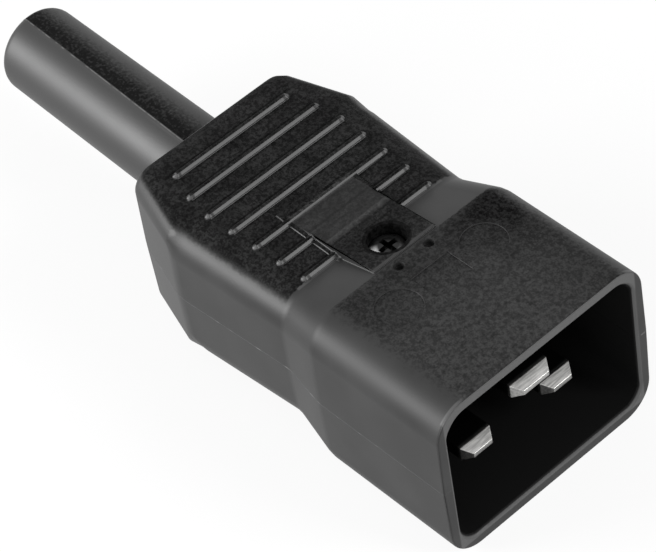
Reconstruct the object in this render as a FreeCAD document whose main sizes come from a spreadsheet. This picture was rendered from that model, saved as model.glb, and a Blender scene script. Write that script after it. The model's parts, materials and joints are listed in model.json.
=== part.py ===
import FreeCAD, Part
import Sketcher
import math
import os

# Rewireable inline power plug: two moulded shells, a shrouded face with three flat blades, the
# screw terminals and cord clamp inside, and a bend sleeve at the back. Millimetres. +X is the
# way the plug is pushed in, +Z is up, the shells part at Z = 0, and the origin is the middle of
# the shroud's rim.

doc = FreeCAD.newDocument("inline_power_plug")
dim = doc.addObject("Spreadsheet::Sheet", "Dim")
spot = doc.addObject("Spreadsheet::Sheet", "Spot")

driving = {
    # shroud
    "shroud_width": 32.8,
    "shroud_height": 24.4,
    "shroud_length": 20.8,
    "shroud_wall": 1.8,
    "cavity_depth": 20.0,
    "cavity_radius": 2.8,
    "rim_bevel": 0.15,
    "mouth_bevel": 0.45,
    # grip
    "ramp_length": 6.5,
    "waist_width": 30.2,
    "waist_height": 20.9,
    "grip_length": 18.7,
    "grip_width": 32.1,
    "tail_length": 11.4,
    "tail_width": 25.0,
    "tail_height": 21.9,
    "tail_round": 2.0,
    "tail_edge_round": 2.2,
    "tail_edge_radius": 2.9,
    "ramp_bend": 0.5,
    "grip_bend": 1.0,
    "edge_radius": 4.3,
    "side_draft": 1.15,
    "shell_wall": 2.0,
    # ribs, plateau and sunk places outside
    "rib_pitch": 3.98,
    "rib_width": 1.05,
    "rib_height": 0.5,
    "rib_end_bevel": 0.35,
    "rib_top_bevel": 0.35,
    "rib_setback": 5.2,
    "rib_margin": 0.3,
    "pad_width": 10.8,
    "pad_length": 17.4,
    "pad_height": 0.2,
    "plateau_width": 9.8,
    "plateau_length": 14.0,
    "plateau_setback": 0.8,
    "plateau_heel": 0.1,
    "dimple_radius": 0.7,
    "dimple_depth": 0.8,
    "dimple_spacing": 4.8,
    "dimple_lead": 0.65,
    "insert_radius": 2.9,
    "insert_depth": 0.15,
    "insert_spacing": 13.5,
    "insert_setback": 15.5,
    "frame_width": 5.8,
    "frame_length": 4.2,
    # housing screw and nut
    "screw_setback": 24.7,
    "screw_radius": 1.5,
    "screw_gap": 0.1,
    "screw_head_radius": 2.35,
    "screw_head_height": 2.0,
    "screw_head_gap": 0.1,
    "screw_recess_depth": 3.7,
    "screw_boss_radius": 3.3,
    "screw_boss_length": 2.8,
    "screw_tip_stand": 0.3,
    "nut_flats": 5.5,
    "nut_height": 2.4,
    "nut_recess_depth": 4.8,
    "nut_gap": 0.1,
    "thread_gap": 0.05,
    # blades
    "blade_spacing": 13.0,
    "blade_offset": 8.0,
    "line_blade_width": 4.8,
    "earth_blade_width": 5.9,
    "blade_thickness": 2.0,
    "blade_taper": 1.35,
    "blade_side_taper": 0.95,
    "blade_face_taper": 0.68,
    "line_blade_setback": 4.3,
    "earth_blade_setback": 1.25,
    "earth_arm_length": 2.3,
    "earth_arm_cover": 0.4,
    "blade_tail_width": 4.6,
    "blade_tail_seat": 4.0,
    # carrier
    "carrier_plate": 3.0,
    "carrier_length": 9.5,
    "carrier_gap": 0.1,
    "lug_length": 2.0,
    "lug_height": 6.0,
    "lug_reach": 1.0,
    "lug_setback": 2.2,
    # terminals
    "terminal_length": 9.0,
    "wire_hole": 3.6,
    "wire_plate_width": 3.3,
    "wire_plate_length": 3.6,
    "wire_plate_thickness": 0.5,
    "wire_plate_gap": 0.3,
    "terminal_screw_radius": 1.4,
    "terminal_head_radius": 2.3,
    "terminal_head_height": 0.8,
    "terminal_head_gap": 0.3,
    "head_bevel": 0.7,
    "screw_slot_width": 0.7,
    "screw_slot_depth": 0.45,
    "cross_depth": 0.9,
    "cross_share": 0.62,
    # cord clamp
    "cord_radius": 4.6,
    "clamp_setback": 11.0,
    "clamp_length": 6.0,
    "saddle_margin": 0.6,
    "clamp_margin": 0.3,
    "clamp_thickness": 2.2,
    "clamp_head_gap": 0.2,
    "clamp_screw_length": 9.0,
    "clamp_head_radius": 2.4,
    "clamp_head_height": 1.6,
    "clamp_nut_half": 2.1,
    "clamp_nut_length": 5.0,
    # bend sleeve
    "sleeve_wall": 1.35,
    "sleeve_length": 36.9,
    "sleeve_end_round": 1.2,
    "sleeve_end_facets": 3,
    "sleeve_flange_reach": 1.92,
    "sleeve_flange_length": 2.0,
    "sleeve_gap": 0.05,
    "sleeve_wall_length": 2.4,
    "collar_length": 1.6,
    "collar_gap": 0.4,
    # pegs that line the shells up
    "peg_half": 1.1,
    "peg_height": 3.0,
    "peg_gap": 0.05,
    "peg_margin": 1.45,
    "peg_setback": 4.4,
}

# Places worked out from the driving sizes.
derived = {
    "ramp_x": "-Dim.shroud_length",
    "waist_x": "ramp_x - Dim.ramp_length",
    "corner_x": "waist_x - Dim.grip_length",
    "rear_x": "corner_x - Dim.tail_length",
    "grip_slope": "(Dim.tail_height - Dim.waist_height) / 2 / (waist_x - rear_x)",
    "corner_top": "Dim.waist_height / 2 + grip_slope * Dim.grip_length",
    "cavity_width": "Dim.shroud_width - 2 * Dim.shroud_wall",
    "cavity_height": "Dim.shroud_height - 2 * Dim.shroud_wall",
    "plate_back_x": "-Dim.cavity_depth - Dim.carrier_plate",
    "carrier_back_x": "-Dim.cavity_depth - Dim.carrier_length",
    "chamber_width": "Dim.waist_width - 2 * Dim.shell_wall",
    "chamber_height": "Dim.waist_height - 2 * Dim.shell_wall - 0.1",
    "flange_back_x": "rear_x + Dim.sleeve_wall_length",
    "flange_front_x": "flange_back_x + Dim.sleeve_flange_length",
    "chamber_back_x": "flange_front_x + Dim.collar_length",
    "clamp_x": "rear_x + Dim.clamp_setback",
    "lug_x": "plate_back_x - Dim.lug_setback",
    "screw_x": "-Dim.screw_setback",
    "screw_seat_z": "Dim.shroud_height / 2 - Dim.screw_recess_depth",
    "nut_seat_z": "Dim.shroud_height / 2 - Dim.nut_recess_depth",
    "boss_z": "chamber_height / 2 - Dim.screw_boss_length",
    "plateau_front_x": "ramp_x - Dim.plateau_setback",
    "plateau_back_x": "plateau_front_x - Dim.plateau_length",
    "line_tip_x": "-Dim.line_blade_setback",
    "earth_tip_x": "-Dim.earth_blade_setback",
    "arm_front_x": "-Dim.cavity_depth - Dim.earth_arm_cover",
    "arm_back_x": "arm_front_x - Dim.earth_arm_length",
    "blade_back_x": "carrier_back_x - Dim.blade_tail_seat",
    "terminal_back_x": "carrier_back_x - Dim.terminal_length",
    "line_z": "-Dim.blade_offset / 2",
    "earth_z": "Dim.blade_offset / 2",
    "side_y": "Dim.blade_spacing / 2",
    "terminal_screw_x": "(blade_back_x + terminal_back_x) / 2",
    "head_room": "2 * (Dim.terminal_head_height + Dim.terminal_head_gap)",
    "terminal_size": "chamber_height - head_room - Dim.blade_offset",
    "clamp_rise": "Dim.cord_radius + Dim.clamp_thickness",
    "clamp_screw_y": "clamp_rise + Dim.clamp_head_gap + Dim.clamp_head_radius",
    "clamp_half_width": "clamp_screw_y + Dim.clamp_head_radius + Dim.clamp_margin",
    "sleeve_radius": "Dim.cord_radius + Dim.sleeve_wall",
    "flange_radius": "sleeve_radius + Dim.sleeve_flange_reach",
    "peg_y": "flange_radius + Dim.sleeve_gap + Dim.peg_margin + Dim.peg_half",
}


def fillSheet(sheet, rows, formula):
    for row, (name, value) in enumerate(rows.items(), 1):
        sheet.set(f"A{row}", name.replace("_", " "))
        sheet.set(f"B{row}", f"={value}" if formula else str(value))
        sheet.setAlias(f"B{row}", name)


fillSheet(dim, driving, formula=False)
doc.recompute()
fillSheet(spot, derived, formula=True)
doc.recompute()


def value(expression):
    return float(dim.evalExpression(expression))


def originPlane(body, role):
    return next(part for part in body.Origin.OriginFeatures if part.Role == role)


def newBody(name):
    body = doc.addObject("PartDesign::Body", name)
    body.Label = name
    return body


def newSketch(body, name, plane, offset=None):
    sketch = body.newObject("Sketcher::SketchObject", name)
    sketch.AttachmentSupport = (originPlane(body, plane), [""])
    sketch.MapMode = "FlatFace"
    if offset is not None:
        sketch.setExpression("AttachmentOffset.Base.z", offset)
    return sketch


def fixPoint(sketch, geometry, end, x, y):
    """Tie one point of the sketch to expressions for its two coordinates."""
    for kind, axis, expression in (("DistanceX", -2, x), ("DistanceY", -1, y)):
        if expression == "0":
            sketch.addConstraint(Sketcher.Constraint("PointOnObject", geometry, end, axis))
        else:
            index = sketch.addConstraint(Sketcher.Constraint(kind, geometry, end, value(expression)))
            sketch.setExpression(f"Constraints[{index}]", expression)


def drawOutline(sketch, corners):
    """Closed outline from corners (x, y) or (x, y, radius), each one an expression."""
    points = [FreeCAD.Vector(value(corner[0]), value(corner[1]), 0) for corner in corners]
    radii = [value(corner[2]) if len(corner) > 2 else 0 for corner in corners]
    count = len(corners)
    leave, arrive, rounds = [], [], []
    for i, point in enumerate(points):
        back = (points[i - 1] - point).normalize()
        ahead = (points[(i + 1) % count] - point).normalize()
        half = back.getAngle(ahead) / 2
        reach = radii[i] / math.tan(half)
        arrive.append(point + back * reach)
        leave.append(point + ahead * reach)
        centre = point + (back + ahead).normalize() * (radii[i] / math.sin(half))
        rounds.append((centre, back.cross(ahead).z < 0))
    lines = []
    for i in range(count):
        lines.append(sketch.addGeometry(Part.LineSegment(leave[i], arrive[(i + 1) % count]), False))
    for i, corner in enumerate(corners):
        before, after = lines[i - 1], lines[i]
        if radii[i] == 0:
            sketch.addConstraint(Sketcher.Constraint("Coincident", before, 2, after, 1))
            fixPoint(sketch, after, 1, corner[0], corner[1])
            continue
        centre, left = rounds[i]
        ends = (arrive[i], leave[i]) if left else (leave[i], arrive[i])
        angles = [math.atan2(end.y - centre.y, end.x - centre.x) for end in ends]
        circle = Part.Circle(centre, FreeCAD.Vector(0, 0, 1), radii[i])
        arc = sketch.addGeometry(Part.ArcOfCircle(circle, *angles), False)
        sketch.addConstraint(Sketcher.Constraint("Tangent", before, 2, arc, 1 if left else 2))
        sketch.addConstraint(Sketcher.Constraint("Tangent", arc, 2 if left else 1, after, 1))
        size = sketch.addConstraint(Sketcher.Constraint("Radius", arc, radii[i]))
        sketch.setExpression(f"Constraints[{size}]", corner[2])
        tip = sketch.addGeometry(Part.Point(points[i]), True)
        sketch.addConstraint(Sketcher.Constraint("PointOnObject", tip, 1, before))
        sketch.addConstraint(Sketcher.Constraint("PointOnObject", tip, 1, after))
        fixPoint(sketch, tip, 1, corner[0], corner[1])


def drawCircle(sketch, x, y, radius):
    centre = FreeCAD.Vector(value(x), value(y), 0)
    circle = sketch.addGeometry(Part.Circle(centre, FreeCAD.Vector(0, 0, 1), value(radius)), False)
    fixPoint(sketch, circle, 3, x, y)
    size = sketch.addConstraint(Sketcher.Constraint("Radius", circle, value(radius)))
    sketch.setExpression(f"Constraints[{size}]", radius)


def drawPair(sketch, x, y, radius):
    """Two equal circles, one on each side of the middle."""
    drawCircle(sketch, x, f"-{y}", radius)
    drawCircle(sketch, x, y, radius)


def rectangle(left, right, low, high):
    return [(left, low), (right, low), (right, high), (left, high)]


def about(x, y, half_length, half_width):
    """Rectangle round a centre."""
    return rectangle(f"{x} - {half_length}", f"{x} + {half_length}",
                     f"{y} - {half_width}", f"{y} + {half_width}")


def drawSquares(sketch, x, y, half):
    """Two equal squares, one on each side of the middle."""
    drawOutline(sketch, about(x, f"-{y}", half, half))
    drawOutline(sketch, about(x, y, half, half))


def extrude(body, kind, sketch, length, reverse, both):
    feature = body.newObject(f"PartDesign::{kind}", f"{sketch.Name}_{kind.lower()}")
    feature.Profile = sketch
    feature.setExpression("Length", length)
    feature.Reversed = reverse
    feature.Refine = False
    if both:
        feature.SideType = "Symmetric"
    doc.recompute()


def pad(body, sketch, length, reverse=False, both=False):
    extrude(body, "Pad", sketch, length, reverse, both)


def cut(body, sketch, length, reverse=False, both=False):
    """A pocket, checked to take material away from the body as it stands."""
    before = body.Shape.Volume
    extrude(body, "Pocket", sketch, length, reverse, both)
    if body.Shape.Volume >= before - 1e-6:
        raise ValueError(f"{sketch.Name} cuts nothing")


def bevelEdges(body, name, size, wanted):
    """Chamfer of the edges of the body's tip that pass a test."""
    base = body.Tip
    edges = [f"Edge{i}" for i, edge in enumerate(base.Shape.Edges, 1) if wanted(edge)]
    bevel = body.newObject("PartDesign::Chamfer", name)
    bevel.Base = (base, edges)
    bevel.setExpression("Size", size)
    doc.recompute()


def middle(edge):
    return edge.valueAt((edge.FirstParameter + edge.LastParameter) / 2)


# The housing's outer form: half width and half height at each corner of its plan, rim to rear.
track = [
    ("0", "Dim.shroud_width / 2", "Dim.shroud_height / 2"),
    ("Spot.ramp_x", "Dim.shroud_width / 2", "Dim.shroud_height / 2"),
    ("Spot.waist_x", "Dim.waist_width / 2", "Dim.waist_height / 2"),
    ("Spot.corner_x", "Dim.grip_width / 2", "Spot.corner_top"),
    ("Spot.rear_x", "Dim.tail_width / 2", "Dim.tail_height / 2"),
]


def bendStation(corner, reach, share, radius="Dim.edge_radius"):
    """Station on the smooth bend that replaces one corner of the track, with its edge radius."""
    before, here, after = track[corner - 1:corner + 2]
    early = f"{(1 - share) ** 2} * {reach} / (({before[0]}) - ({here[0]}))"
    late = f"{share ** 2} * {reach} / (({here[0]}) - ({after[0]}))"
    places = [
        f"({here[i]}) + {early} * (({before[i]}) - ({here[i]}))"
        f" + {late} * (({after[i]}) - ({here[i]}))"
        for i in range(3)
    ]
    return (*places, radius)


def tailStation(angle):
    """Station on the quarter round at the rear end."""
    reach = f"Dim.tail_round * (1 - sin({angle}))"
    slope = "(Dim.grip_width - Dim.tail_width) / 2 / Dim.tail_length"
    drop = f"max(0; Dim.tail_edge_round - {reach})"
    return (
        f"Spot.rear_x + {reach}",
        f"Dim.tail_width / 2 + {slope} * {reach} - Dim.tail_round * (1 - cos({angle}))",
        f"Dim.tail_height / 2 - Spot.grip_slope * {reach} - Dim.tail_edge_round"
        f" + sqrt(Dim.tail_edge_round ^ 2 - ({drop}) ^ 2)",
        f"Dim.tail_edge_radius - Dim.tail_round * (1 - cos({angle}))",
    )


stations = [(*track[0], "Dim.edge_radius")]
stations += [bendStation(1, "Dim.ramp_bend", share) for share in (0, 1)]
stations += [bendStation(2, "Dim.ramp_bend", share) for share in (0, 1)]
stations += [bendStation(3, "Dim.grip_bend", share) for share in (0, 0.5)]
stations += [bendStation(3, "Dim.grip_bend", 1, "Dim.tail_edge_radius")]
stations += [tailStation(angle) for angle in (0, 30, 60, 90)]


def gripTop(x):
    return f"Dim.waist_height / 2 + Spot.grip_slope * (Spot.waist_x - ({x}))"


def gripSide(x):
    """Half width of the grip in plan at a place ahead of or behind the rear corners."""
    slope = "(Dim.grip_width - Dim.waist_width) / 2 / Dim.grip_length"
    fall = "(Dim.grip_width - Dim.tail_width) / 2 / Dim.tail_length"
    return (
        f"Dim.grip_width / 2 - {slope} * max(0; ({x}) - Spot.corner_x)"
        f" - {fall} * max(0; Spot.corner_x - ({x}))"
    )


def addOuterForm(body, side):
    sections = []
    for i, (x, half_width, half_height, radius) in enumerate(stations):
        sketch = newSketch(body, f"{body.Name}_section_{i}", "YZ_Plane", x)
        shoulder = f"({half_width}) - ({half_height}) * tan(Dim.side_draft)"
        top = f"{side} * ({half_height})"
        drawOutline(sketch, [
            (f"-({half_width})", "0"),
            (f"-({shoulder})", top, radius),
            (shoulder, top, radius),
            (half_width, "0"),
        ])
        sections.append(sketch)
    loft = body.newObject("PartDesign::AdditiveLoft", f"{body.Name}_outer_form")
    loft.Profile = sections[0]
    loft.Sections = sections[1:]
    loft.Ruled = True


def drawRib(sketch, low, high, right_end, left_end):
    """Rib in plan, its four corners cut at 45 degrees."""
    cut_off = "Dim.rib_end_bevel"
    drawOutline(sketch, [
        (low, f"{right_end} + {cut_off}"),
        (f"{low} + {cut_off}", right_end),
        (f"{high} - {cut_off}", right_end),
        (high, f"{right_end} + {cut_off}"),
        (high, f"{left_end} - {cut_off}"),
        (f"{high} - {cut_off}", left_end),
        (f"{low} + {cut_off}", left_end),
        (low, f"{left_end} - {cut_off}"),
    ])


def addRibs(body, side):
    """Seven grip ribs across the shell; the two nearest the waist are split by the plateau."""
    base = "(Dim.waist_height / 2 - 0.5 * Dim.shell_wall)"
    for i in range(7):
        x = f"(Spot.rear_x + Dim.rib_setback + {i} * Dim.rib_pitch)"
        lean = f"({gripTop(x)}) * tan(Dim.side_draft)"
        outer = f"({gripSide(x)} - {lean} - Dim.edge_radius - Dim.rib_margin)"
        low, high = f"{x} - Dim.rib_width / 2", f"{x} + Dim.rib_width / 2"
        inner = "(Dim.plateau_width / 2 - Dim.rib_end_bevel)"
        spans = [(f"-{outer}", outer)] if i < 5 else [(f"-{outer}", f"-{inner}"), (inner, outer)]
        sketch = newSketch(body, f"{body.Name}_rib_{i}", "XY_Plane", f"{side} * {base}")
        for right_end, left_end in spans:
            drawRib(sketch, low, high, right_end, left_end)
        pad(body, sketch, f"{gripTop(x)} + Dim.rib_height - {base}", reverse=side < 0)
    rear_edge = value("Spot.rear_x + Dim.rib_setback - Dim.rib_width")

    def onRibTop(edge):
        point = middle(edge)
        lift = side * point.z - value("Dim.rib_height") * 0.5
        top = value(gripTop(str(point.x)))
        flat = abs(edge.BoundBox.ZLength) < 1e-4
        return flat and lift > top and rear_edge < point.x < value("Spot.waist_x")

    bevelEdges(body, f"{body.Name}_rib_bevels", "Dim.rib_top_bevel", onRibTop)


def addPlateau(body, side):
    """Sloping plateau round the screw, on a low pad that runs a little further back."""
    sunk = f"{side} * (Dim.waist_height / 2 - 0.5 * Dim.shell_wall)"
    back = "(Spot.waist_x - Dim.pad_length + Dim.ramp_length)"
    foot = newSketch(body, f"{body.Name}_pad", "XZ_Plane")
    drawOutline(foot, [
        (back, sunk),
        ("Spot.waist_x", sunk),
        ("Spot.waist_x", f"{side} * ({gripTop('Spot.waist_x')} + Dim.pad_height)"),
        (back, f"{side} * ({gripTop(back)} + Dim.pad_height)"),
    ])
    pad(body, foot, "Dim.pad_width", both=True)
    rise = newSketch(body, f"{body.Name}_plateau", "XZ_Plane")
    drawOutline(rise, [
        ("Spot.plateau_back_x", sunk),
        ("Spot.plateau_front_x", sunk),
        ("Spot.plateau_front_x", f"{side} * Dim.shroud_height / 2"),
        ("Spot.plateau_back_x", f"{side} * ({gripTop('Spot.plateau_back_x')} + Dim.plateau_heel)"),
    ])
    pad(body, rise, "Dim.plateau_width", both=True)


def cutInside(body, side):
    """Cavity, chamber, lug grooves and the bore for the bend sleeve."""
    upward = side > 0
    cavity = newSketch(body, f"{body.Name}_cavity", "YZ_Plane", "0")
    top = f"{side} * Spot.cavity_height / 2"
    below = f"{-side} * Dim.shell_wall"
    drawOutline(cavity, [
        ("-Spot.cavity_width / 2", below),
        ("Spot.cavity_width / 2", below),
        ("Spot.cavity_width / 2", top, "Dim.cavity_radius"),
        ("-Spot.cavity_width / 2", top, "Dim.cavity_radius"),
    ])
    cut(body, cavity, "-Spot.plate_back_x")
    chamber = newSketch(body, f"{body.Name}_chamber", "XY_Plane")
    back_side = f"({gripSide('Spot.chamber_back_x')} - Dim.shell_wall)"
    waist_side = "Spot.chamber_width / 2"
    corner_side = "(Dim.grip_width / 2 - Dim.shell_wall)"
    front = "(Spot.plate_back_x + Dim.carrier_gap)"
    drawOutline(chamber, [
        (front, f"-{waist_side}"),
        ("Spot.waist_x", f"-{waist_side}"),
        ("Spot.corner_x", f"-{corner_side}"),
        ("Spot.chamber_back_x", f"-{back_side}"),
        ("Spot.chamber_back_x", back_side),
        ("Spot.corner_x", corner_side),
        ("Spot.waist_x", waist_side),
        (front, waist_side),
    ])
    cut(body, chamber, "Spot.chamber_height / 2", reverse=upward)
    lugs = newSketch(body, f"{body.Name}_lugs", "XY_Plane")
    reach = f"({waist_side} + Dim.lug_reach)"
    lug_back = "Spot.lug_x - Dim.lug_length - Dim.carrier_gap"
    drawOutline(lugs, rectangle(lug_back, "Spot.lug_x + Dim.carrier_gap", f"-{reach}", reach))
    cut(body, lugs, "Dim.lug_height / 2 + Dim.carrier_gap", reverse=upward)
    bore = newSketch(body, f"{body.Name}_bore", "XY_Plane")
    neck = "(Spot.sleeve_radius + Dim.sleeve_gap)"
    flange = "(Spot.flange_radius + Dim.sleeve_gap)"
    collar = "(Dim.cord_radius + Dim.collar_gap)"
    drawOutline(bore, [
        ("Spot.rear_x - Dim.shell_wall", "0"),
        ("Spot.chamber_back_x + Dim.shell_wall", "0"),
        ("Spot.chamber_back_x + Dim.shell_wall", collar),
        ("Spot.flange_front_x", collar),
        ("Spot.flange_front_x", flange),
        ("Spot.flange_back_x", flange),
        ("Spot.flange_back_x", neck),
        ("Spot.rear_x - Dim.shell_wall", neck),
    ])
    doc.recompute()
    before = body.Shape.Volume
    groove = body.newObject("PartDesign::Groove", f"{body.Name}_bore_groove")
    groove.Profile = bore
    groove.ReferenceAxis = (originPlane(body, "X_Axis"), [""])
    groove.Angle = 360
    doc.recompute()
    if body.Shape.Volume >= before:
        raise ValueError(f"{body.Label}: the bore cuts nothing")


def addScrewBoss(body, side):
    boss = newSketch(body, f"{body.Name}_boss", "XY_Plane", f"{side} * Spot.boss_z")
    drawCircle(boss, "Spot.screw_x", "0", "Dim.screw_boss_radius")
    length = "Dim.waist_height / 2 - 0.5 * Dim.shell_wall - Spot.boss_z"
    pad(body, boss, length, reverse=side < 0)
    hole = newSketch(body, f"{body.Name}_screw_hole", "XY_Plane")
    drawCircle(hole, "Spot.screw_x", "0", "Dim.screw_radius + Dim.screw_gap")
    cut(body, hole, "Dim.shroud_height", reverse=side > 0)


def bevelRim(body, side):
    """Outer and inner edges of the shroud's rim, without the parting plane's."""
    halfway = value("Dim.shroud_wall / 6")

    def beyondMouth(edge):
        """How far an edge of the rim lies outside the mouth, or None for any other edge."""
        box = edge.BoundBox
        point = middle(edge)
        if box.XLength > 1e-4 or abs(box.XMax) > 1e-4 or side * point.z < 1e-3:
            return None
        return max(abs(point.y) - value("Spot.cavity_width / 2"),
                   abs(point.z) - value("Spot.cavity_height / 2"))

    def onOutside(edge):
        reach = beyondMouth(edge)
        return reach is not None and reach > halfway

    def onMouth(edge):
        reach = beyondMouth(edge)
        return reach is not None and reach < halfway

    bevelEdges(body, f"{body.Name}_rim_bevel", "Dim.rim_bevel", onOutside)
    bevelEdges(body, f"{body.Name}_mouth_bevel", "Dim.mouth_bevel", onMouth)


def hexagon(sketch, x, flats):
    radius = f"({flats}) / sqrt(3)"
    corners = []
    for i in range(6):
        across = f"{radius} * sin({60 * i})" if i % 3 else "0"
        corners.append((f"{x} + {radius} * cos({60 * i})", across))
    drawOutline(sketch, corners)


def addSaddle(body):
    """Block under the cord with a half-round seat, and holes for the clamp screws' nuts."""
    saddle = newSketch(body, "saddle", "YZ_Plane", "Spot.clamp_x - Dim.clamp_length / 2")
    half = "(Spot.clamp_half_width + Dim.saddle_margin)"
    floor = "-(Spot.chamber_height / 2 + 0.5 * Dim.shell_wall)"
    drawOutline(saddle, rectangle(f"-{half}", half, floor, "0"))
    pad(body, saddle, "Dim.clamp_length")
    seat = newSketch(body, "saddle_seat", "YZ_Plane", "Spot.clamp_x - Dim.clamp_length")
    drawCircle(seat, "0", "0", "Dim.cord_radius")
    cut(body, seat, "2 * Dim.clamp_length", reverse=True)
    well = newSketch(body, "nut_well", "XY_Plane")
    drawSquares(well, "Spot.clamp_x", "Spot.clamp_screw_y", "Dim.clamp_nut_half")
    cut(body, well, "Dim.clamp_nut_length")
    tip = newSketch(body, "well_tip", "XY_Plane")
    drawPair(tip, "Spot.clamp_x", "Spot.clamp_screw_y", "Dim.screw_radius + Dim.screw_gap")
    cut(body, tip, "Dim.clamp_screw_length - Dim.clamp_thickness + Dim.screw_tip_stand")


def buildShell(name, side):
    body = newBody(name)
    addOuterForm(body, side)
    addRibs(body, side)
    addPlateau(body, side)
    cutInside(body, side)
    addScrewBoss(body, side)
    return body


def buildUpperShell():
    body = buildShell("upper_shell", 1)
    head = newSketch(body, "head_recess", "XY_Plane", "Spot.screw_seat_z")
    drawCircle(head, "Spot.screw_x", "0", "Dim.screw_head_radius + Dim.screw_head_gap")
    cut(body, head, "Dim.shroud_height", reverse=True)
    dimples = newSketch(body, "dimples", "XY_Plane", "Dim.shroud_height / 2 - Dim.dimple_depth")
    drawPair(dimples, "Spot.ramp_x + Dim.dimple_lead", "Dim.dimple_spacing / 2", "Dim.dimple_radius")
    cut(body, dimples, "2 * Dim.dimple_depth", reverse=True)
    plain = newSketch(body, "plain_places", "XY_Plane", "Dim.shroud_height / 2 - Dim.insert_depth")
    drawPair(plain, "-Dim.insert_setback", "Dim.insert_spacing / 2", "Dim.insert_radius")
    frame_back = "-Dim.insert_setback - Dim.frame_length / 2"
    frame_front = "-Dim.insert_setback + Dim.frame_length / 2"
    half = "Dim.frame_width / 2"
    drawOutline(plain, rectangle(frame_back, frame_front, f"-{half}", half))
    cut(body, plain, "2 * Dim.insert_depth", reverse=True)
    pegs = newSketch(body, "peg_holes", "XY_Plane")
    drawSquares(pegs, "Spot.rear_x + Dim.peg_setback", "Spot.peg_y", "(Dim.peg_half + Dim.peg_gap)")
    cut(body, pegs, "Dim.peg_height + Dim.screw_tip_stand", reverse=True)
    bevelRim(body, 1)
    return body


def buildLowerShell():
    body = buildShell("lower_shell", -1)
    recess = newSketch(body, "nut_recess", "XY_Plane", "-Spot.nut_seat_z")
    hexagon(recess, "Spot.screw_x", "Dim.nut_flats + 2 * Dim.nut_gap")
    cut(body, recess, "Dim.shroud_height")
    addSaddle(body)
    pegs = newSketch(body, "pegs", "XY_Plane")
    drawSquares(pegs, "Spot.rear_x + Dim.peg_setback", "Spot.peg_y", "Dim.peg_half")
    pad(body, pegs, "Dim.peg_height")
    bevelRim(body, -1)
    return body


def drawLineBlade(sketch, y):
    """Straight blade in plan, from its tapered tip to the end of its narrower tail."""
    half, tip, tail = "Dim.line_blade_width / 2", "Dim.blade_side_taper", "Dim.blade_tail_width / 2"
    shoulder = "Spot.line_tip_x - Dim.blade_taper"
    drawOutline(sketch, [
        ("Spot.line_tip_x", f"{y} - {half} + {tip}"),
        ("Spot.line_tip_x", f"{y} + {half} - {tip}"),
        (shoulder, f"{y} + {half}"),
        ("Spot.arm_back_x", f"{y} + {half}"),
        ("Spot.arm_back_x", f"{y} + {tail}"),
        ("Spot.blade_back_x", f"{y} + {tail}"),
        ("Spot.blade_back_x", f"{y} - {tail}"),
        ("Spot.arm_back_x", f"{y} - {tail}"),
        ("Spot.arm_back_x", f"{y} - {half}"),
        (shoulder, f"{y} - {half}"),
    ])


def drawEarthBlade(sketch):
    """Middle blade in plan, with an arm inside the carrier that leads its tail past the screw."""
    half, tip, tail = "Dim.earth_blade_width / 2", "Dim.blade_side_taper", "Dim.blade_tail_width / 2"
    shoulder = "Spot.earth_tip_x - Dim.blade_taper"
    drawOutline(sketch, [
        ("Spot.earth_tip_x", f"-{half} + {tip}"),
        ("Spot.earth_tip_x", f"{half} - {tip}"),
        (shoulder, half),
        ("Spot.arm_front_x", half),
        ("Spot.arm_front_x", f"Spot.side_y + {tail}"),
        ("Spot.blade_back_x", f"Spot.side_y + {tail}"),
        ("Spot.blade_back_x", f"Spot.side_y - {tail}"),
        ("Spot.arm_back_x", f"Spot.side_y - {tail}"),
        ("Spot.arm_back_x", f"-{half}"),
        (shoulder, f"-{half}"),
    ])


def buildBlade(name, draw, tip_x, z):
    """Blade stamped from flat strip, its tip tapered on both faces."""
    body = newBody(name)
    plan = newSketch(body, f"{name}_plan", "XY_Plane", f"{z} - Dim.blade_thickness / 2")
    draw(plan)
    pad(body, plan, "Dim.blade_thickness")
    shoulder = f"{tip_x} - Dim.blade_taper"
    over = f"{tip_x} + Dim.blade_taper"
    low = "(Dim.blade_thickness / 2 - 2 * Dim.blade_face_taper)"
    for sign, label in (("+", "upper"), ("-", "lower")):
        face = f"{z} {sign} Dim.blade_thickness / 2"
        bevel = newSketch(body, f"{name}_{label}_bevel", "XZ_Plane")
        drawOutline(bevel, [(shoulder, face), (over, face), (over, f"{z} {sign} {low}")])
        cut(body, bevel, "4 * Dim.blade_spacing", both=True)


def buildLineBlade(name, y):
    def draw(sketch):
        drawLineBlade(sketch, y)

    buildBlade(name, draw, "Spot.line_tip_x", "Spot.line_z")


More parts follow.
